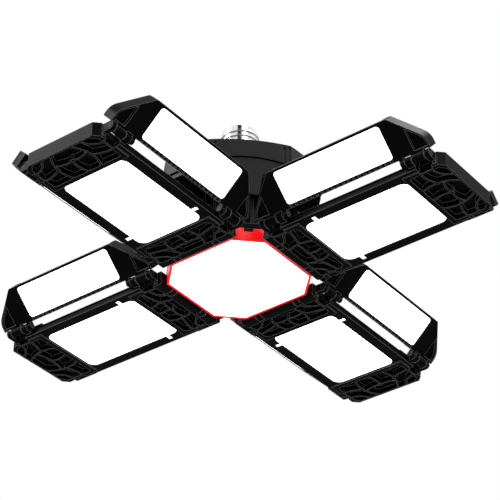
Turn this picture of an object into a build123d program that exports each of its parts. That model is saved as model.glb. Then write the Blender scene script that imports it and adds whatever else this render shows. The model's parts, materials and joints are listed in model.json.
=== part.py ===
from build123d import *
import os
from math import sqrt

# Lengths are in millimetres. The origin lies on the screw-base axis, where the metal
# shell meets its collar, and +Z points up into the lamp holder. Each piece is first
# drawn with its heights counted from the light-emitting plane and then lowered by LED_DROP.
LED_DROP = 88.3

# Screw base
SHELL_LENGTH = 23.6
SHELL_R = 12.1
SHELL_WALL = 1.4
THREAD_RISE = 1.0
THREAD_PITCH = 3.62
THREAD_START = 2.0
COLLAR_R = 16.5
COLLAR_FLARE = 2.0
COLLAR_FOOT = 3.7
TIP_RISE = 2.8
CONTACT_R = 4.6
CONTACT_TALL = 1.4
CONTACT_ROUND = 0.8

# Driver housing and its legged skirt
HOUSE_FLAT = 49.5
HOUSE_HALF = 25.4
HOUSE_LOW = 55.7
HOUSE_EDGE = 15.5
DOME_R = 161.0
DOME_LAND = 0.7
HOUSE_WALL = 2.2
GROOVE = (1.5, 0.8)
GROOVE_DROP = 3.6
GROOVES = 2
SKIRT_PLATE = 3.7
SKIRT_INSET = 1.1
LEG_SET = 0.9
LEG_RISE = 2.4
LEG_ARCH = 3.2
LEG_HALF = 20.7
LEG_SIDE = 3.2
LEG_MID_HALF = 8.0
LEG_MID_DROP = 12.5
LEG_FOOT_HALF = 5.5
LEG_FOOT_DROP = 27.7
LEG_THICK = 3.7
LEG_RIDGE = (2.2, 0.6)
CORE_R = 30.4
CORE_FIN = 4.6
CORE_FIN_THICK = 1.7
CORE_FINS = 24
CORE_WALL = 2.8
DRIVER_BOARD = (62.0, 48.0, 1.6)
TRANSFORMER = (16.0, 16.0, 7.5)
CHOKE = (11.0, 7.0, 6.0)
CAPACITOR = (4.0, 8.0)

# Centre panel
RING_SIDE = 38.3
RING_CORNER = 43.5
RING_WALL = 1.5
RING_TOP = 8.55
RING_NOTCH = (6.0, 2.3)
FLANGE_GAP = 0.3
FLANGE_THICK = 3.7
CENTRE_LENS_LOW = 0.2
CENTRE_LENS_THICK = 1.5
CENTRE_BOARD_LOW = 4.2
CENTRE_BOARD_THICK = 1.3
CENTRE_CHIPS = 6
CENTRE_CHIP_STEP = 8.7

# Fold hinge between the centre panel and each main panel
FOLD_GAP = 0.4
FOLD_R = 2.0
FOLD_Z = 0.55
FOLD_PIN_R = 0.9
FOLD_PIN_HALF = 22.0
LUG_N = 14.7
LUG_WIDE = 3.7

# Main panel, in arm coordinates: d outward, n across, z up
MAIN_GAP = 1.2
INNER_BLOCK = 25.75
WIN_LENGTH = 73.2
OUTER_BLOCK = 27.5
WIN_HALF = 23.2
WIN_ROUND = 5.5
RAIL_HALF = 30.25
RAIL_TOP = 3.95
RIM = 0.55
BLOCK_HALF = 27.6
BLOCK_TOP = 7.9
BLOCK_CUT = 3.7
RIB = 1.1
POCKET_DEEP = 3.9
POCKET_ROUND = 1.1
PLATE_THICK = 1.95
FIN_THICK = 1.1
FIN_TALL = 3.4
FIN_STEP = 6.4
FINS = 8
LENS_THICK = 0.9
BOARD_THICK = 0.6
BOARD_INSET = 1.0
CHIP = 2.6
CHIP_TALL = 0.35
CHIP_COLUMNS = 8
CLIP_FROM_IN = 10.1
CLIP_SIZE = (2.8, 3.9)

# Tilt hinge between each main panel and its two side panels
TILT_OUT = 2.4
TILT_Z = 4.6
TILT_REST = 43.16
HINGE_R = 2.75
PIN_R = 1.15
POST_FROM_WIN = 6.55
POST_LONG = 4.4
KNUCKLE_LONG = 8.1
LIP_R = 1.95
LIP_LONG = 3.0
LUG_LONG = 3.2
SLOT_GAP = 3.95
FINGER_R = 0.85
FINGER_LONG = 7.55

# Side panel, in its own coordinates: d outward, w away from the tilt axis, v to the back
WING_OVER = 0.7
WING_REACH = 5.15
WING_WIN = 20.95
WING_RIM = 1.7
WING_ROUND = 2.0
WING_LED_V = -0.55
WING_TALL = 9.0
WING_RAIL_W = 2.75
WING_PLATE_LOW = 1.45
WING_PLATE_THICK = 1.65
WING_FINS = 4
WING_END = 1.65
WING_TIP = 9.65
WING_TIP_SOFT = 0.6
WING_MITRE_PLAY = 0.45
WING_SOFT = 2.3
RECESS_FROM = 13.8
RECESS_RIM = 1.0
RECESS_DEEP = 1.9
VENTS = 20
VENT = (1.65, 0.9)
VENT_RIM = 0.5

# Clearances
PIN_PLAY = 0.05
SIDE_PLAY = 0.4
SEAM = 0.4

# Places that follow from the sizes above
ARMS = (225, 315, 45, 135)
QUARTERS = (0, 90, 180, 270)
COLLAR_FOOT_R = COLLAR_R + 2 * COLLAR_FLARE
DOME_Z = HOUSE_LOW + HOUSE_EDGE - sqrt(DOME_R**2 - HOUSE_FLAT**2)
HOUSE_TOP = DOME_Z + sqrt(DOME_R**2 - (COLLAR_FOOT_R + DOME_LAND) ** 2)
FOLD_D = RING_SIDE + FOLD_GAP + FOLD_R
FLANGE_SIDE = FOLD_D + FOLD_R
FLANGE_LOW = RING_TOP + FLANGE_GAP
FLANGE_TOP = FLANGE_LOW + FLANGE_THICK
MAIN_IN = RING_SIDE + MAIN_GAP
WIN_IN = MAIN_IN + INNER_BLOCK
WIN_OUT = WIN_IN + WIN_LENGTH
MAIN_OUT = WIN_OUT + OUTER_BLOCK
WIN_MID = (WIN_IN + WIN_OUT) / 2
BLOCK_LOW = FOLD_Z - FOLD_R
PLATE_LOW = RAIL_TOP - PLATE_THICK
TILT_N = RAIL_HALF + TILT_OUT
SIDE_SLOT = TILT_N - HINGE_R - SLOT_GAP
POST_OUT = WIN_OUT + POST_FROM_WIN
LUG_OUT = POST_OUT + POST_LONG + KNUCKLE_LONG + 2 * SIDE_PLAY
WING_IN = WIN_IN - WING_OVER
WING_OUT = WIN_OUT + WING_OVER
WING_END_OUT = LUG_OUT + LUG_LONG + WING_END
WING_END_IN = 2 * WIN_MID - WING_END_OUT
WING_FAR = WING_REACH + WING_WIN
WING_EDGE = WING_FAR + WING_RIM
WING_LOW = WING_LED_V - RIM
WING_BACK = WING_LOW + WING_TALL
WING_PLATE_TOP = WING_PLATE_LOW + WING_PLATE_THICK
HINGE_ROOM = HINGE_R + 2 * SIDE_PLAY
BASE = (Align.CENTER, Align.CENTER, Align.MIN)


def mirrored(d):
    """The same distance, measured towards the centre from the panel's middle."""
    return 2 * WIN_MID - d


def box(d0, d1, n0, n1, z0, z1):
    """A block between two corners, given in any order."""
    centre = Pos((d0 + d1) / 2, (n0 + n1) / 2, (z0 + z1) / 2)
    return centre * Box(abs(d1 - d0), abs(n1 - n0), abs(z1 - z0))


def raised(face, z0, z1):
    """A flat face made solid between two heights."""
    return Pos(0, 0, z0) * extrude(face, z1 - z0, dir=(0, 0, 1))


def octagon(side, corner, z0, z1):
    """Eight-sided plate: long sides face the arms, short ones lie on the X and Y axes."""
    half = sqrt(2) * side - corner
    points = [(corner, -half), (corner, half), (half, corner), (-half, corner)]
    points = points + [(-x, -y) for x, y in points]
    return raised(make_face(Polyline(*points, close=True)), z0, z1)


def disc(radius, z0, z1):
    return Pos(0, 0, z0) * Cylinder(radius, z1 - z0, align=BASE)


def rod(radius, d0, d1, n, z):
    """A round rod that lies along an arm."""
    return Pos(min(d0, d1), n, z) * (Rot(0, 90, 0) * Cylinder(radius, abs(d1 - d0), align=BASE))


def cross_rod(radius, n0, n1, d, z):
    """A round rod that lies across an arm."""
    return Pos(d, n0, z) * (Rot(-90, 0, 0) * Cylinder(radius, n1 - n0, align=BASE))


def web_pockets(d0, d1, half, cut, ribs):
    """Deep pockets in an end block, parted by thin curved ribs like a web.

    Each rib is an arc through three points, given as shares of the pocketed length and
    half-width; cut trims the outer corners as the block's own are trimmed."""
    points = [(d0, half), (d1 - cut, half), (d1, half - cut)]
    points = points + [(d, -n) for d, n in reversed(points)]
    pockets = fillet(make_face(Polyline(*points, close=True)).vertices(), POCKET_ROUND)
    for shares in ribs:
        places = [(d0 + a * (d1 - d0), b * half) for a, b in shares]
        pockets = pockets - trace(ThreePointArc(*places), RIB)
    return [raised(face, BLOCK_LOW, BLOCK_LOW + POCKET_DEEP) for face in pockets.faces()]


def both_sides(ribs):
    """The same ribs and their mirror images across the middle of the panel."""
    return ribs + [tuple((a, -b) for a, b in shares) for shares in ribs]


OUTER_RIBS = both_sides([
    ((1.1, 0.56), (0.8, 0.72), (0.66, 1.1)),
    ((-0.1, 0.36), (0.5, 0.5), (1.1, 0.2)),
    ((0.34, 1.1), (0.36, 0.76), (0.5, 0.46)),
    ((0.62, 0.44), (0.54, 0.2), (0.58, -0.06)),
]) + [((-0.1, 0.1), (0.24, -0.04), (0.6, 0.02))]
INNER_RIBS = both_sides([
    ((-0.1, 0.62), (0.2, 0.74), (0.36, 1.1)),
    ((-0.1, 0.3), (0.5, 0.44), (1.1, 0.3)),
    ((0.48, 0.4), (0.6, 0.7), (0.72, 1.1)),
    ((0.4, 0.42), (0.46, 0.2), (0.42, -0.04)),
]) + [((0.4, 0.0), (0.7, 0.06), (1.1, -0.04))]


def window(z0, z1):
    """The rounded light opening of a main panel with its two clip notches."""
    wide, deep = CLIP_SIZE
    solid = Pos(WIN_MID, 0, 0) * raised(RectangleRounded(WIN_LENGTH, 2 * WIN_HALF, WIN_ROUND), z0, z1)
    d = WIN_IN + CLIP_FROM_IN
    for side in (-1, 1):
        clip = (side * (WIN_HALF - wide), side * (WIN_HALF + deep))
        solid = solid + box(d - wide / 2, d + wide / 2, clip[0], clip[1], z0, z1)
    return solid


def hinge_spans():
    """Lip, post, knuckle and lug along the tilt axis, for the outer and then the inner end.

    The post and the lug belong to the main panel, the lip and the knuckle to the side panel."""
    lip = (POST_OUT - SIDE_PLAY - LIP_LONG, POST_OUT - SIDE_PLAY)
    post = (POST_OUT, POST_OUT + POST_LONG)
    knuckle = (post[1] + SIDE_PLAY, LUG_OUT - SIDE_PLAY)
    lug = (LUG_OUT, LUG_OUT + LUG_LONG)
    outer = (lip, post, knuckle, lug)
    near = tuple((mirrored(span[1]), mirrored(span[0])) for span in outer)
    return (outer, near)


def main_blocks():
    """The two thick end blocks, the rails beside the window and the finned back plate."""
    plan = Pos((WIN_OUT + MAIN_OUT) / 2, 0, 0) * Rectangle(OUTER_BLOCK, 2 * BLOCK_HALF)
    plan = chamfer(plan.vertices().sort_by(Axis.X)[-2:], BLOCK_CUT)
    frame = raised(plan, BLOCK_LOW, BLOCK_TOP)
    frame = frame + box(FOLD_D, WIN_IN, -BLOCK_HALF, BLOCK_HALF, BLOCK_LOW, BLOCK_TOP)
    frame = frame + box(MAIN_IN, FOLD_D, -BLOCK_HALF, BLOCK_HALF, FOLD_Z, BLOCK_TOP)
    frame = frame + cross_rod(FOLD_R, -BLOCK_HALF, BLOCK_HALF, FOLD_D, FOLD_Z)
    rail_end = POST_OUT + POST_LONG
    frame = frame + box(mirrored(rail_end), rail_end, -RAIL_HALF, RAIL_HALF, -RIM, RAIL_TOP)
    frame = frame - window(2 * BLOCK_LOW, PLATE_LOW)
    for k in range(FINS):
        n = (k - (FINS - 1) / 2) * FIN_STEP
        fin = (n - FIN_THICK / 2, n + FIN_THICK / 2)
        frame = frame + box(WIN_IN, WIN_OUT, fin[0], fin[1], RAIL_TOP, RAIL_TOP + FIN_TALL)
    return frame


def tilt_supports(frame, side):
    """Posts, lugs and detent fingers that carry the side panel on one edge of a frame."""
    axis_n = side * TILT_N
    root = side * (SIDE_SLOT - HINGE_R)
    finger_n = side * (SIDE_SLOT + SLOT_GAP / 2 + FINGER_R / 2)
    for lip, post, knuckle, lug in hinge_spans():
        ends = (min(post[1], lug[1]), max(post[0], lug[0]))
        slot = (side * SIDE_SLOT, 2 * axis_n)
        frame = frame - box(ends[0], ends[1], slot[0], slot[1], 2 * BLOCK_LOW, 2 * BLOCK_TOP)
        for d0, d1 in (post, lug):
            frame = frame + box(d0, d1, root, axis_n, TILT_Z - HINGE_R, TILT_Z + HINGE_R)
            frame = frame + rod(HINGE_R, d0, d1, axis_n, TILT_Z)
        frame = frame - rod(PIN_R, min(post[0], lug[0]), max(post[1], lug[1]), axis_n, TILT_Z)
        outward = 1 if lug[0] > post[0] else -1
        seat = (lug[0] + lug[1]) / 2
        tip = seat - outward * (LUG_LONG / 2 + FINGER_LONG)
        frame = frame + rod(FINGER_R, seat, tip, finger_n, FINGER_R)
        frame = frame + box(lug[0], lug[1], root, finger_n, 0, TILT_Z)
    return frame


def main_frame():
    frame = main_blocks()
    for side in (-1, 1):
        frame = tilt_supports(frame, side)
    slot_half = LUG_WIDE / 2 + SIDE_PLAY
    far = FLANGE_SIDE + 2 * SIDE_PLAY
    for side in (-1, 1):
        n = side * LUG_N
        frame = frame - box(RING_SIDE, far, n - slot_half, n + slot_half, 2 * BLOCK_LOW, 2 * BLOCK_TOP)
    reach = FOLD_PIN_HALF + SIDE_PLAY
    frame = frame - cross_rod(FOLD_PIN_R + PIN_PLAY, -reach, reach, FOLD_D, FOLD_Z)
    half = SIDE_SLOT - RIB
    outer = web_pockets(WIN_OUT + 3 * RIB, MAIN_OUT - RIB, half, BLOCK_CUT, OUTER_RIBS)
    inner = web_pockets(FLANGE_SIDE + 2 * RIB, WIN_IN - 3 * RIB, half, 2 * POCKET_ROUND, INNER_RIBS)
    for pocket in outer + inner:
        frame = frame - pocket
    return frame


def main_lens():
    return window(0, LENS_THICK)


def light_chip(d, n, low):
    """One light chip under a board whose lower face is at low."""
    half = CHIP / 2
    return box(d - half, d + half, n - half, n + half, low - CHIP_TALL, low)


def chip_grid(board, d0, d1, n0, n1, rows, low):
    """Rows of light chips, spread evenly over a board whose lower face is at low."""
    for k in range(CHIP_COLUMNS):
        for m in range(rows):
            d = d0 + (k + 0.5) * (d1 - d0) / CHIP_COLUMNS
            n = n0 + (m + 0.5) * (n1 - n0) / rows
            board = board + light_chip(d, n, low)
    return board


def main_board():
    low = PLATE_LOW - BOARD_THICK
    long = WIN_LENGTH - 2 * BOARD_INSET
    wide = 2 * WIN_HALF - 2 * BOARD_INSET
    plate = RectangleRounded(long, wide, WIN_ROUND - BOARD_INSET)
    board = Pos(WIN_MID, 0, 0) * raised(plate, low, PLATE_LOW)
    return chip_grid(board, WIN_IN, WIN_OUT, -WIN_HALF, WIN_HALF, 5, low)


def tilt_pins():
    """The four steel pins of one main panel."""
    pins = []
    for side in (-1, 1):
        for lip, post, knuckle, lug in hinge_spans():
            ends = (min(lip[0], lug[0]), max(lip[1], lug[1]))
            pins.append(rod(PIN_R, ends[0], ends[1], side * TILT_N, TILT_Z))
    return Compound(children=pins)


def to_wing(shape, side):
    """Carry a piece from side-panel coordinates to its resting place on the arm."""
    shape = Pos(0, TILT_N, TILT_Z) * (Rot(TILT_REST, 0, 0) * shape)
    if side < 0:
        shape = mirror(shape, about=Plane.XZ)
    return shape


def wing_face():
    """Front view of a side panel: a long plate, cut at 45 degrees at both rounded ends.

    Each tip is rounded over a set share of its short square end."""
    slant = WING_END_OUT + WING_TIP
    mitre = TILT_N + WING_MITRE_PLAY
    points = [(WING_END_OUT, WING_RAIL_W), (WING_END_OUT, WING_TIP), (slant - WING_EDGE, WING_EDGE)]
    points = points + [(mitre + WING_EDGE, WING_EDGE), (WING_END_IN, WING_END_IN - mitre)]
    points.append((WING_END_IN, WING_RAIL_W))
    face = make_face(Polyline(*points, close=True))
    for tip in (points[1], points[-2]):
        corner = face.vertices().sort_by_distance(tip)[0]
        square = tip[1] - WING_RAIL_W
        face = fillet(corner, WING_TIP_SOFT * square * (1 + sqrt(2)))
    return fillet(face.vertices().sort_by(Axis.Y)[-2:], WING_SOFT)


def wing_recesses(face):
    """Shallow recesses in the two end blocks, a thin rim inside the outline."""
    inside = offset(face, -RECESS_RIM)
    low = HINGE_ROOM + RECESS_RIM
    recesses = []
    for d0, d1 in ((WING_OUT + RECESS_FROM, WING_END_OUT), (WING_END_IN, WING_IN - RECESS_FROM)):
        area = Pos((d0 + d1) / 2, low + WING_EDGE / 2) * Rectangle(d1 - d0, WING_EDGE)
        recesses.append(raised(inside & area, WING_LOW, WING_LOW + RECESS_DEEP))
    return recesses


def wing_window(v0, v1):
    """The light opening of a side panel, with softly rounded corners."""
    face = RectangleRounded(WING_OUT - WING_IN, WING_WIN, WING_ROUND)
    return Pos(WIN_MID, WING_REACH + WING_WIN / 2, 0) * raised(face, v0, v1)


def wing_frame():
    face = wing_face()
    body = raised(face, WING_LOW, WING_BACK)
    thin0 = WING_IN - WING_RIM
    thin1 = WING_OUT + WING_RIM
    body = body - box(thin0, thin1, -WING_EDGE, 2 * WING_EDGE, WING_PLATE_TOP, 2 * WING_BACK)
    for k in range(WING_FINS):
        w = WING_REACH + (k + 0.5) * WING_WIN / WING_FINS
        fin = (w - FIN_THICK / 2, w + FIN_THICK / 2)
        body = body + box(thin0, thin1, fin[0], fin[1], WING_PLATE_TOP, WING_PLATE_TOP + FIN_TALL)
    body = body - wing_window(2 * WING_LOW, WING_PLATE_LOW)
    for lip, post, knuckle, lug in hinge_spans():
        for d0, d1 in (post, lug):
            body = body - rod(HINGE_ROOM, d0 - SIDE_PLAY, d1 + SIDE_PLAY, 0, 0)
        for (d0, d1), radius in ((lip, LIP_R), (knuckle, HINGE_R)):
            body = body + rod(radius, d0, d1, 0, 0)
            body = body + box(d0, d1, 0, WING_RAIL_W + RECESS_RIM, WING_LOW, radius)
            body = body - rod(PIN_R + PIN_PLAY, d0, d1, 0, 0)
    for recess in wing_recesses(face):
        body = body - recess
    wide, deep = VENT
    for k in range(VENTS):
        d = WING_IN + (k + 0.5) * (WING_OUT - WING_IN) / VENTS
        span = (WING_RAIL_W + VENT_RIM, WING_REACH - VENT_RIM)
        body = body - box(d - wide / 2, d + wide / 2, span[0], span[1], 2 * WING_LOW, WING_LOW + deep)
    return body


def wing_lens():
    return wing_window(WING_LED_V, WING_LED_V + LENS_THICK)


def wing_board():
    low = WING_PLATE_LOW - BOARD_THICK
    ends = (WING_IN + BOARD_INSET, WING_OUT - BOARD_INSET)
    sides = (WING_REACH + BOARD_INSET, WING_FAR - BOARD_INSET)
    board = box(ends[0], ends[1], sides[0], sides[1], low, WING_PLATE_LOW)
    return chip_grid(board, WING_IN, WING_OUT, WING_REACH, WING_FAR, 2, low)


def centre_ring():
    ring = octagon(RING_SIDE, RING_CORNER, 0, RING_TOP)
    ring = ring - octagon(RING_SIDE - RING_WALL, RING_CORNER - RING_WALL, -RING_TOP, 2 * RING_TOP)
    wide, deep = RING_NOTCH
    span = (RING_CORNER - 2 * RING_WALL, RING_CORNER + RING_WALL)
    for turn in QUARTERS:
        cut = box(span[0], span[1], -wide / 2, wide / 2, RING_TOP - deep, RING_TOP + deep)
        ring = ring - Rot(0, 0, turn) * cut
    return ring


def inside_ring(z0, z1, play=0.0):
    """An eight-sided plate that fits in the ring."""
    inset = RING_WALL + play
    return octagon(RING_SIDE - inset, RING_CORNER - inset, z0, z1)


def centre_lens():
    return inside_ring(CENTRE_LENS_LOW, CENTRE_LENS_LOW + CENTRE_LENS_THICK)


def centre_board():
    low = CENTRE_BOARD_LOW
    board = inside_ring(low, low + CENTRE_BOARD_THICK, SIDE_PLAY)
    places = [(k - (CENTRE_CHIPS - 1) / 2) * CENTRE_CHIP_STEP for k in range(CENTRE_CHIPS)]
    for x in places:
        for y in places:
            board = board + light_chip(x, y, low)
    return board


def centre_body():
    """Flange, LED seat and the eight fold-hinge lugs, in one casting."""
    body = octagon(FLANGE_SIDE, RING_CORNER, FLANGE_LOW, FLANGE_TOP)
    body = body + inside_ring(CENTRE_BOARD_LOW + CENTRE_BOARD_THICK, FLANGE_LOW, SIDE_PLAY)
    body = body + octagon(RING_SIDE, RING_CORNER, RING_TOP, FLANGE_LOW)
    for ang in ARMS:
        for side in (-1, 1):
            n0 = side * LUG_N - LUG_WIDE / 2
            n1 = side * LUG_N + LUG_WIDE / 2
            lug = box(FOLD_D - FOLD_R + SIDE_PLAY, FLANGE_SIDE, n0, n1, FOLD_Z, FLANGE_TOP)
            lug = lug + cross_rod(FOLD_R, n0, n1, FOLD_D, FOLD_Z)
            lug = lug - cross_rod(FOLD_PIN_R, n0 - LUG_WIDE, n1 + LUG_WIDE, FOLD_D, FOLD_Z)
            body = body + Rot(0, 0, ang) * lug
    return body


def fold_pins():
    pin = cross_rod(FOLD_PIN_R, -FOLD_PIN_HALF, FOLD_PIN_HALF, FOLD_D, FOLD_Z)
    return Compound(children=[Rot(0, 0, ang) * pin for ang in ARMS])


def neck_core():
    """A finned tube that carries the housing above the centre panel."""
    high = HOUSE_LOW - SKIRT_PLATE
    body_r = CORE_R - CORE_FIN
    half = CORE_FIN_THICK / 2
    core = disc(body_r, FLANGE_TOP, high)
    for k in range(CORE_FINS):
        fin = box(body_r - CORE_WALL / 2, CORE_R, -half, half, FLANGE_TOP, high)
        core = core + Rot(0, 0, (k + 0.5) * 360 / CORE_FINS) * fin
    return core - disc(body_r - CORE_WALL, FLANGE_TOP, high)


def leg_face(lift=0.0):
    """Outline of an arched bracket with its tapered leg, seen square to a flat of the housing."""
    top = HOUSE_LOW + LEG_RISE + lift
    shoulder = (LEG_HALF, top - LEG_ARCH)
    elbow = (LEG_HALF, shoulder[1] - LEG_SIDE)
    mid = (LEG_MID_HALF, top - LEG_MID_DROP)
    bend = ((3 * mid[0] + elbow[0]) / 4, (mid[1] + elbow[1]) / 2)
    foot = (LEG_FOOT_HALF, top - LEG_FOOT_DROP)
    right = [Line(shoulder, elbow), ThreePointArc(elbow, bend, mid), Line(mid, foot)]
    left = [mirror(edge, about=Plane.YZ) for edge in right]
    arch = ThreePointArc(shoulder, (0, top), (-shoulder[0], shoulder[1]))
    sole = Line(foot, (-foot[0], foot[1]))
    front = Plane(origin=(HOUSE_FLAT - LEG_SET, 0, 0), x_dir=(0, 1, 0), z_dir=(1, 0, 0))
    return front * make_face(right + left + [arch, sole])


def housing_skirt():
    """The plate under the housing with an arched bracket and a tapered leg on each flat."""
    corner = (HOUSE_FLAT + HOUSE_HALF) / sqrt(2) - SKIRT_INSET
    skirt = octagon(corner, HOUSE_FLAT - SKIRT_INSET, HOUSE_LOW - SKIRT_PLATE, HOUSE_LOW)
    leg = extrude(leg_face(), LEG_THICK, dir=(-1, 0, 0))
    wide, proud = LEG_RIDGE
    front = HOUSE_FLAT - LEG_SET
    top = HOUSE_LOW + LEG_RISE
    leg = leg + box(front, front + proud, -wide / 2, wide / 2, top - LEG_FOOT_DROP, top - LEG_MID_DROP)
    for turn in QUARTERS:
        skirt = skirt + Rot(0, 0, turn) * leg
    return skirt


def housing_block(inset, low):
    """The housing's eight-sided form under its shallow dome, smaller by inset for the inside."""
    corner = (HOUSE_FLAT + HOUSE_HALF) / sqrt(2)
    block = octagon(corner - inset, HOUSE_FLAT - inset, low, HOUSE_TOP - inset)
    return block & Pos(0, 0, DOME_Z) * Sphere(DOME_R - inset)


def driver_housing():
    """A thin domed shell whose lower edge arches over the four brackets with an open seam."""
    shell = housing_block(0, HOUSE_LOW) - housing_block(HOUSE_WALL, 0)
    arch = extrude(leg_face(SEAM), LEG_THICK, both=True)
    wide, deep = GROOVE
    for turn in QUARTERS:
        shell = shell - Rot(0, 0, turn) * arch
        for side in (-1, 1):
            for k in range(GROOVES):
                n = side * (HOUSE_HALF - wide * (0.5 + 2.1 * k))
                cut = Box(2 * deep, wide, 2 * (HOUSE_LOW + HOUSE_EDGE - GROOVE_DROP))
                shell = shell - Rot(0, 0, turn) * (Pos(HOUSE_FLAT, n, 0) * cut)
    return shell


def driver_board():
    long, wide, thick = DRIVER_BOARD
    return Pos(0, 0, HOUSE_LOW) * Box(long, wide, thick, align=BASE)


def driver_parts():
    """A transformer, a choke and two capacitors, placed by shares of the driver board."""
    long, wide, thick = DRIVER_BOARD
    low = HOUSE_LOW + thick
    parts = [Pos(-0.2 * long, 0, low) * Box(*TRANSFORMER, align=BASE)]
    parts.append(Pos(0.18 * long, -0.3 * wide, low) * Box(*CHOKE, align=BASE))
    for x, y in ((0.3, 0.12), (0.12, 0.3)):
        parts.append(Pos(x * long, y * wide, low) * Cylinder(*CAPACITOR, align=BASE))
    return Compound(children=parts)


def base_collar():
    rise = LED_DROP - HOUSE_TOP - COLLAR_FOOT
    foot = disc(COLLAR_FOOT_R, HOUSE_TOP, HOUSE_TOP + COLLAR_FOOT)
    cone = Cone(COLLAR_R + COLLAR_FLARE, COLLAR_R, rise, align=BASE)
    return foot + Pos(0, 0, HOUSE_TOP + COLLAR_FOOT) * cone


def screw_shell():
    """A thin-walled shell with one helical thread rolled into it."""
    inset = THREAD_RISE / 10
    long = SHELL_LENGTH - 2 * THREAD_START - THREAD_RISE / 2
    path = Helix(THREAD_PITCH, long, SHELL_R - inset)
    start = Plane(origin=path @ 0, z_dir=path % 0)
    thread = sweep(start * Circle(THREAD_RISE + inset), path=path, is_frenet=True)
    shell = disc(SHELL_R, LED_DROP, LED_DROP + SHELL_LENGTH)
    shell = shell + Pos(0, 0, LED_DROP + THREAD_START) * thread
    return shell - disc(SHELL_R - SHELL_WALL, LED_DROP, LED_DROP + SHELL_LENGTH)


def base_insulator():
    top = LED_DROP + SHELL_LENGTH
    plug = disc(SHELL_R - SHELL_WALL, LED_DROP, top)
    tip = Cone(SHELL_R - SHELL_WALL / 2, CONTACT_R + SHELL_WALL, TIP_RISE, align=BASE)
    return plug + Pos(0, 0, top) * tip


def centre_contact():
    low = LED_DROP + SHELL_LENGTH + TIP_RISE
    button = disc(CONTACT_R, low, low + CONTACT_TALL)
    return fillet(button.edges().group_by(Axis.Z)[-1], CONTACT_ROUND)


def save(name, shape):
    export_step(Pos(0, 0, -LED_DROP) * shape, os.path.join("parts", name + ".step"))


os.makedirs("parts", exist_ok=True)
hub_nodes = {
    "screw_shell": screw_shell(),
    "base_insulator": base_insulator(),
    "centre_contact": centre_contact(),
    "base_collar": base_collar(),
    "driver_housing": driver_housing(),
    "housing_skirt": housing_skirt(),
    "driver_board": driver_board(),
    "driver_parts": driver_parts(),
    "neck_core": neck_core(),
    "centre_body": centre_body(),
    "centre_ring": centre_ring(),
    "centre_lens": centre_lens(),
    "centre_board": centre_board(),
    "fold_pins": fold_pins(),
}
for name, shape in hub_nodes.items():
    save(name, shape)
main_nodes = {
    "main_frame": main_frame(),
    "main_lens": main_lens(),
    "main_board": main_board(),
    "tilt_pins": tilt_pins(),
}
wing_nodes = {"wing_frame": wing_frame(), "wing_lens": wing_lens(), "wing_board": wing_board()}
for i, ang in enumerate(ARMS, start=1):
    for name, shape in main_nodes.items():
        save(f"{name}_{i}", Rot(0, 0, ang) * shape)
    for letter, side in (("a", 1), ("b", -1)):
        for name, shape in wing_nodes.items():
            save(f"{name}_{i}{letter}", Rot(0, 0, ang) * to_wing(shape, side))
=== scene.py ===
# %% [markdown]
# # A folding garage light, dressed for its portrait
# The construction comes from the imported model, so every panel, hinge and screw thread is
# already in its true place. This lesson adds what a camera sees: paint, plastic, nickel,
# glowing diffusers, soft light and the photograph's point of view.

# %% Load the frame
import bpy, bmesh, json, math
from mathutils import Matrix, Vector


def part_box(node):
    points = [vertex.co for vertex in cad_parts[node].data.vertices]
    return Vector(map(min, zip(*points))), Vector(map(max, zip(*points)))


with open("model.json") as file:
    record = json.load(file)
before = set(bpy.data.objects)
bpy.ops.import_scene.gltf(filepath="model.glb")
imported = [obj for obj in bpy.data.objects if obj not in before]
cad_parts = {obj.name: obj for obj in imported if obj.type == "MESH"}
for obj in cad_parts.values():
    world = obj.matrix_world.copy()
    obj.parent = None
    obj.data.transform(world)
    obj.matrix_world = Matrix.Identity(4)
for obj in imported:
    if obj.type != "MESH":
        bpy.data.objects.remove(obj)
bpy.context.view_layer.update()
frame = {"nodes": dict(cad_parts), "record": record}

nodes = frame["nodes"]

# %% [markdown]
# The photograph looks up at the light from below and slightly from the left, with a long
# lens. The viewing angle was found by lining up the corners of the twelve windows. The
# camera could be parented to a target and tracked to it, but two angles and a distance
# from the point where the screw axis meets the diffusers say the same in plain numbers.

# %% Camera
MM = 0.001
LED_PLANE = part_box("main_lens_1")[0][2]
VIEW_TURN = math.radians(7.92)
VIEW_RISE = math.radians(34.61)
VIEW_DISTANCE = 1221.5 * MM
SHIFT_RIGHT = -6.80 * MM
SHIFT_UP = -18.57 * MM
FOCAL_PIXELS = 1984.3
PHOTO_PIXELS = 500
SENSOR_WIDTH = 36

level = Vector((math.sin(VIEW_TURN), math.cos(VIEW_TURN), 0))
forward = level * math.cos(VIEW_RISE) + Vector((0, 0, math.sin(VIEW_RISE)))
right = Vector((math.cos(VIEW_TURN), -math.sin(VIEW_TURN), 0))
upward = right.cross(forward)
eye = Vector((0, 0, LED_PLANE)) - VIEW_DISTANCE * forward - SHIFT_RIGHT * right - SHIFT_UP * upward
camera_data = bpy.data.cameras.new("photo_camera")
camera_data.sensor_width = SENSOR_WIDTH
camera_data.lens = SENSOR_WIDTH * FOCAL_PIXELS / PHOTO_PIXELS
camera = bpy.data.objects.new("photo_camera", camera_data)
bpy.context.scene.collection.objects.link(camera)
camera.matrix_world = Matrix((right, upward, -forward)).transposed().to_4x4()
camera.location = eye
bpy.context.scene.camera = camera
print("camera at", [round(v, 3) for v in eye], "lens", round(camera_data.lens, 1))

# %% [markdown]
# Every finish below is a small tree of shader nodes, so a few helpers keep those trees
# short: one opens a node group with named sockets, one adds a node, one rescales a value
# and one makes noise. Clicking the same trees together by hand gives the same result.

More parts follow.
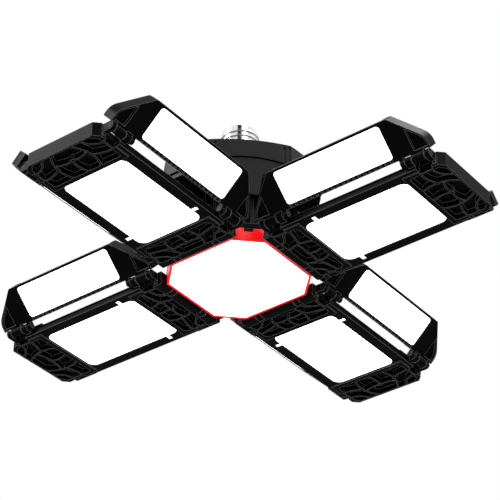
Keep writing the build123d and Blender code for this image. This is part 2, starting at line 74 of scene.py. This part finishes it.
# %% Helpers for node trees
def new_group(name, inputs, outputs):
    group = bpy.data.node_groups.new(name, "ShaderNodeTree")
    for label, value in inputs:
        socket = group.interface.new_socket(name=label, in_out="INPUT", socket_type="NodeSocketFloat")
        socket.default_value = value
    for label, kind in outputs:
        group.interface.new_socket(name=label, in_out="OUTPUT", socket_type=kind)
    return group, group.nodes.new("NodeGroupInput"), group.nodes.new("NodeGroupOutput")


def add(tree, kind, **settings):
    node = tree.nodes.new(kind)
    for key, value in settings.items():
        setattr(node, key, value)
    return node


def put(tree, socket, value):
    """Link a socket to another node's output, or set it to a plain number."""
    if isinstance(value, (int, float)):
        socket.default_value = value
    else:
        tree.links.new(value, socket)


def map_range(tree, value, low, high, to_low, to_high):
    node = add(tree, "ShaderNodeMapRange")
    tree.links.new(value, node.inputs["Value"])
    ends = {"From Min": low, "From Max": high, "To Min": to_low, "To Max": to_high}
    for label, number in ends.items():
        put(tree, node.inputs[label], number)
    return node.outputs["Result"]


def noise(tree, vector, scale, detail, rough=0.55):
    node = add(tree, "ShaderNodeTexNoise")
    tree.links.new(vector, node.inputs["Vector"])
    node.inputs["Detail"].default_value = detail
    node.inputs["Roughness"].default_value = rough
    put(tree, node.inputs["Scale"], scale)
    return node.outputs["Fac"]


print("helpers ready")

# %% [markdown]
# Powder paint and moulded plastic are never quite even. A fine noise gives the grain that
# a bump needs, and a broad one lets the gloss and the tone drift a little over a casting.
# An image of real paint would do too, but noise has no seams on these turned-up corners.

# %% Shared effect: paint grain
DRIFT_SCALE = 34.0
GLOSS_SPAN = (0.3, 0.7)
TONE_SPAN = (0.25, 0.75)


def paint_grain_group():
    inputs = [("Grain Scale", 1800.0), ("Rough Low", 0.4), ("Rough High", 0.55)]
    outputs = [(label, "NodeSocketFloat") for label in ("Height", "Roughness", "Tone")]
    group, start, end = new_group("paint_grain", inputs, outputs)
    coords = add(group, "ShaderNodeTexCoord").outputs["Object"]
    fine = noise(group, coords, start.outputs["Grain Scale"], detail=2.0)
    broad = noise(group, coords, DRIFT_SCALE, detail=4.0)
    group.links.new(fine, end.inputs["Height"])
    rough = map_range(group, broad, *GLOSS_SPAN, start.outputs["Rough Low"], start.outputs["Rough High"])
    group.links.new(rough, end.inputs["Roughness"])
    group.links.new(map_range(group, broad, *TONE_SPAN, 0.0, 1.0), end.inputs["Tone"])
    return group


PAINT_GRAIN = paint_grain_group()
print("node group:", PAINT_GRAIN.name)

# %% [markdown]
# A die-cast edge is never razor sharp, and on black paint a painted highlight along it is
# what draws the ribs and rims. The Bevel node finds the edges: its normal rounds them, and
# where it leaves the true normal it also gives a mask for that painted highlight. A bevel
# modifier would round the meshes as well, but it stumbles on the many small triangles of a casting.

# %% Shared effect: soft edges and a painted edge highlight
EDGE_RADIUS = 0.5 * MM
EDGE_HIGHLIGHT_SPAN = (0.99, 0.72)
BEVEL_SAMPLES = 8


def soft_edge_group():
    outputs = [("Edge Highlight", "NodeSocketFloat"), ("Normal", "NodeSocketVector")]
    group, start, end = new_group("soft_edge", [("Radius", EDGE_RADIUS)], outputs)
    bevel = add(group, "ShaderNodeBevel", samples=BEVEL_SAMPLES)
    group.links.new(start.outputs["Radius"], bevel.inputs["Radius"])
    flat = add(group, "ShaderNodeNewGeometry").outputs["Normal"]
    dot = add(group, "ShaderNodeVectorMath", operation="DOT_PRODUCT")
    group.links.new(bevel.outputs["Normal"], dot.inputs[0])
    group.links.new(flat, dot.inputs[1])
    # The edge mask marks where a painted highlight goes along the edges.
    group.links.new(map_range(group, dot.outputs["Value"], *EDGE_HIGHLIGHT_SPAN, 0.0, 1.0), end.inputs["Edge Highlight"])
    group.links.new(bevel.outputs["Normal"], end.inputs["Normal"])
    return group


SOFT_EDGE = soft_edge_group()
print("node group:", SOFT_EDGE.name)

# %% [markdown]
# The painted castings, the moulded housing, the blackened pins and the red ring are all
# coats over the same grain, so one function builds them from the two shared effects. A
# material could be copied and its colours changed by hand, but then a later change to the
# grain would have to be made in every copy.

# %% How a coat is built
GRAIN_DEPTH = 0.05 * MM


def use_group(tree, group, **values):
    node = add(tree, "ShaderNodeGroup", node_tree=group)
    for label, value in values.items():
        node.inputs[label.replace("_", " ")].default_value = value
    return node


def mix_colour(tree, factor, first, second):
    node = add(tree, "ShaderNodeMix", data_type="RGBA")
    tree.links.new(factor, node.inputs["Factor"])
    for socket, colour in ((node.inputs[6], first), (node.inputs[7], second)):
        if isinstance(colour, tuple):
            socket.default_value = (*colour, 1.0)
        else:
            tree.links.new(colour, socket)
    return node.outputs[2]


def new_material(name):
    material = bpy.data.materials.new(name)
    material.use_nodes = True
    tree = material.node_tree
    return material, tree, tree.nodes["Principled BSDF"]


def coated(name, dark, light, edge_highlight, rough, specular=0.3, grain=1800.0, bump=0.1):
    """A coat that drifts from a dark to a light tone, with a painted highlight of its own on the edges.
    """
    material, tree, shader = new_material(name)
    grains = use_group(tree, PAINT_GRAIN, Grain_Scale=grain, Rough_Low=rough[0], Rough_High=rough[1])
    edges = use_group(tree, SOFT_EDGE, Radius=EDGE_RADIUS)
    tone = mix_colour(tree, grains.outputs["Tone"], dark, light)
    # The edge tone is a painted highlight, laid along the edges by the bevel mask.
    tree.links.new(mix_colour(tree, edges.outputs["Edge Highlight"], tone, edge_highlight), shader.inputs["Base Color"])
    tree.links.new(grains.outputs["Roughness"], shader.inputs["Roughness"])
    ripple = add(tree, "ShaderNodeBump")
    ripple.inputs["Strength"].default_value = bump
    ripple.inputs["Distance"].default_value = GRAIN_DEPTH
    tree.links.new(grains.outputs["Height"], ripple.inputs["Height"])
    tree.links.new(edges.outputs["Normal"], ripple.inputs["Normal"])
    tree.links.new(ripple.outputs["Normal"], shader.inputs["Normal"])
    shader.inputs["Specular IOR Level"].default_value = specular
    return material


print("coats can be built")

# %% [markdown]
# The panel frames are die-cast and powder painted, with a painted highlight along the
# edges of the ribs. The housing is a duller moulded plastic, the pins are blackened steel,
# and the insulator of the screw base is black glass. Each is one call with a dark and a
# light tone, a painted highlight tone for the edges, and the lowest and highest roughness.

# %% Black coats
def grey(tone, blue=1.03):
    return (tone, tone, tone * blue)


frame_paint = coated("black_powder_paint", grey(0.003), grey(0.005), grey(0.5),
                     (0.3, 0.4), specular=0.03)
housing_plastic = coated("black_housing_plastic", grey(0.01), grey(0.014), grey(0.05),
                         (0.42, 0.52), specular=0.15, grain=1200.0)
pin_black = coated("blackened_pin_steel", grey(0.006), grey(0.01), grey(0.03),
                   (0.35, 0.5), specular=0.1, grain=900.0)
insulator = coated("black_glass_insulator", grey(0.01), grey(0.016), grey(0.05),
                   (0.12, 0.2), specular=0.5, grain=800.0, bump=0.03)
print("black coats:", [m.name for m in (frame_paint, housing_plastic, pin_black, insulator)])

# %% [markdown]
# The circuit boards carry a solder mask, white under the diffusers and green in the
# driver. The ring round the centre panel is clear red plastic, which carries light from
# the diffuser beside it. Real scattering inside the ring would be slow to render, so a
# little red glow of its own stands in for it.

# %% Coloured coats
BOARD_BLUE = 0.98
RING_GLOW = (1.0, 0.008, 0.012, 1.0)
RING_GLOW_STRENGTH = 0.6

# The third colour of each coat is a painted highlight for its edges.
board_white = coated("white_circuit_board", grey(0.8, BOARD_BLUE), grey(0.84, BOARD_BLUE),
                     grey(0.86, BOARD_BLUE), (0.4, 0.5))
board_green = coated("green_circuit_board", (0.03, 0.16, 0.06), (0.04, 0.2, 0.08), (0.2, 0.3, 0.2),
                     (0.35, 0.5))
red_plastic = coated("red_ring_plastic", (0.86, 0.006, 0.01), (0.9, 0.01, 0.014), (0.95, 0.06, 0.06),
                     (0.22, 0.34), specular=0.4, grain=900.0, bump=0.04)
ring_shader = red_plastic.node_tree.nodes["Principled BSDF"]
ring_shader.inputs["Emission Color"].default_value = RING_GLOW
ring_shader.inputs["Emission Strength"].default_value = RING_GLOW_STRENGTH
print("coloured coats:", [m.name for m in (board_white, board_green, red_plastic)])

# %% [markdown]
# Bare metal needs no painted edge highlight: the nickel of the screw shell shows the studio
# around it, and the solder on its contact is duller. Both could be one flat colour, but a slow
# drift of tone and gloss keeps them from looking like plastic.

# %% Bare metals
DULL_SHARE = 0.9


def bare_metal(name, colour, rough, scratch):
    material, tree, shader = new_material(name)
    shader.inputs["Metallic"].default_value = 1.0
    grains = use_group(tree, PAINT_GRAIN, Grain_Scale=scratch, Rough_Low=rough[0], Rough_High=rough[1])
    dull = tuple(DULL_SHARE * c for c in colour)
    tree.links.new(mix_colour(tree, grains.outputs["Tone"], dull, colour), shader.inputs["Base Color"])
    tree.links.new(grains.outputs["Roughness"], shader.inputs["Roughness"])
    return material


nickel = bare_metal("bright_nickel", (0.86, 0.85, 0.83), (0.05, 0.12), 700.0)
solder = bare_metal("soldered_contact", (0.78, 0.74, 0.66), (0.25, 0.4), 500.0)
print("metals:", nickel.name, solder.name)

# %% [markdown]
# The diffusers are opal plastic, and the light chips behind them are far too bright to be
# seen one by one. Real chips behind a scattering sheet would take long to render clean, so
# the sheet glows by itself, with a slight drift in its colour.

# %% Glowing diffusers
OPAL_STRENGTH = 3.0


def glowing_opal(name, strength):
    material, tree, shader = new_material(name)
    grains = use_group(tree, PAINT_GRAIN, Grain_Scale=600.0, Rough_Low=0.35, Rough_High=0.45)
    glow = mix_colour(tree, grains.outputs["Tone"], (0.97, 0.98, 1.0), (1.0, 1.0, 1.0))
    sheet = mix_colour(tree, grains.outputs["Tone"], (0.9, 0.9, 0.9), (0.93, 0.93, 0.93))
    tree.links.new(glow, shader.inputs["Emission Color"])
    tree.links.new(sheet, shader.inputs["Base Color"])
    tree.links.new(grains.outputs["Roughness"], shader.inputs["Roughness"])
    shader.inputs["Emission Strength"].default_value = strength
    return material


opal = glowing_opal("glowing_opal", OPAL_STRENGTH)
print("diffuser:", opal.name)

# %% [markdown]
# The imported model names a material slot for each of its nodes. A table from slot to finish
# dresses all of them at once, and a node that is added later only needs its slot's name.

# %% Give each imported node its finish
SLOT_FINISH = {
    "frame_black": frame_paint,
    "housing_black": housing_plastic,
    "red_ring": red_plastic,
    "opal_lens": opal,
    "led_board": board_white,
    "steel_pins": pin_black,
    "nickel_shell": nickel,
    "black_insulator": insulator,
    "contact_metal": solder,
    "circuit_board": board_green,
    "driver_parts": insulator,
}
for part in frame["record"]["subparts"]:
    node = nodes[part["node"]]
    node.data.materials.clear()
    node.data.materials.append(SLOT_FINISH[part["material_slot"]])

# %% [markdown]
# The studio around the light is plain white. Shiny nickel would vanish in an all-white
# room, so its reflections also see a narrow dark card that stands behind the camera, as a
# photographer would hold one up. A real card could be modelled, but then it would throw
# shadows too, so it is painted into the world for glossy rays alone.

# %% White studio with a dark card
WORLD_FILL = 0.35
CARD_HALF = 0.2
CARD_CORE = 0.6
CARD_BEHIND = (-0.3, -0.1)
CARD_TONE = 0.02


def maths(tree, operation, first, second):
    node = add(tree, "ShaderNodeMath", operation=operation)
    put(tree, node.inputs[0], first)
    put(tree, node.inputs[1], second)
    return node.outputs[0]


def along(tree, direction, axis):
    """How far a world direction points along an axis."""
    dot = add(tree, "ShaderNodeVectorMath", operation="DOT_PRODUCT")
    tree.links.new(direction, dot.inputs[0])
    dot.inputs[1].default_value = axis
    return dot.outputs["Value"]


def studio_world():
    world = bpy.data.worlds.new("white_studio")
    bpy.context.scene.world = world
    world.use_nodes = True
    tree = world.node_tree
    path = add(tree, "ShaderNodeLightPath")
    seen = maths(tree, "MAXIMUM", path.outputs["Is Camera Ray"], path.outputs["Is Glossy Ray"])
    seen = maths(tree, "MAXIMUM", seen, path.outputs["Is Transmission Ray"])
    light = map_range(tree, seen, 0.0, 1.0, WORLD_FILL, 1.0)
    direction = add(tree, "ShaderNodeTexCoord").outputs["Generated"]
    aside = maths(tree, "ABSOLUTE", along(tree, direction, right), 0.0)
    narrow = map_range(tree, aside, CARD_CORE * CARD_HALF, CARD_HALF, 1.0, 0.0)
    behind = map_range(tree, along(tree, direction, level), *CARD_BEHIND, 1.0, 0.0)
    card = maths(tree, "MULTIPLY", maths(tree, "MULTIPLY", narrow, behind), path.outputs["Is Glossy Ray"])
    strength = maths(tree, "MULTIPLY", light, map_range(tree, card, 0.0, 1.0, 1.0, CARD_TONE))
    background = tree.nodes["Background"]
    tree.links.new(strength, background.inputs["Strength"])
    background.inputs["Color"].default_value = (1, 1, 1, 1)
    return world


print("world:", studio_world().name)

# %% [markdown]
# The light hangs from a ceiling, so its floor lies far below it. It is one large square,
# lifted for the camera alone: it looks pale, and the black undersides still mirror a dim
# room. A brighter lamp would make it pale as well, but would wash out the black paint.

# %% Pale floor
FLOOR_DROP = 3.0
FLOOR_HALF = 40.0
FLOOR_TONE = 0.85
FLOOR_ROUGH = 0.8
FLOOR_LIFT = 0.45


def pale_floor():
    data = bpy.data.meshes.new("studio_floor")
    form = bmesh.new()
    bmesh.ops.create_grid(form, x_segments=1, y_segments=1, size=FLOOR_HALF)
    form.to_mesh(data)
    form.free()
    floor = bpy.data.objects.new("studio_floor", data)
    bpy.context.scene.collection.objects.link(floor)
    floor.location = (0, 0, -FLOOR_DROP)
    finish, tree, shader = new_material("pale_floor")
    shader.inputs["Base Color"].default_value = (FLOOR_TONE, FLOOR_TONE, FLOOR_TONE, 1)
    shader.inputs["Roughness"].default_value = FLOOR_ROUGH
    shader.inputs["Emission Color"].default_value = (1, 1, 1, 1)
    path = add(tree, "ShaderNodeLightPath")
    lift = maths(tree, "MULTIPLY", path.outputs["Is Camera Ray"], FLOOR_LIFT)
    tree.links.new(lift, shader.inputs["Emission Strength"])
    data.materials.append(finish)
    return floor


print("floor at", round(pale_floor().location.z, 2), "m")

# %% [markdown]
# Three large soft lamps light the housing and the outer edges: one at the left, which is
# the strongest, one above and one in front. A sun would do for the level of light, but its
# hard shadows would cut across the fins and ribs.

# %% Soft lamps
LAMP_AIM = Vector((0, 0, -0.06))
SOFT_LAMPS = (
    ("left_soft_lamp", (-2.1, -0.3, 1.4), 1.3, 50),
    ("top_soft_lamp", (0.9, 0.6, 2.2), 0.9, 16),
    ("front_soft_lamp", (1.0, -2.0, 1.3), 1.2, 22),
)


def soft_lamp(name, place, size, power):
    data = bpy.data.lights.new(name, "AREA")
    data.shape = "DISK"
    data.size = size
    data.energy = power
    lamp = bpy.data.objects.new(name, data)
    bpy.context.scene.collection.objects.link(lamp)
    lamp.location = place
    lamp.rotation_euler = (LAMP_AIM - Vector(place)).to_track_quat("-Z", "Y").to_euler()


for lamp_values in SOFT_LAMPS:
    soft_lamp(*lamp_values)
bpy.context.scene.view_settings.view_transform = "Standard"
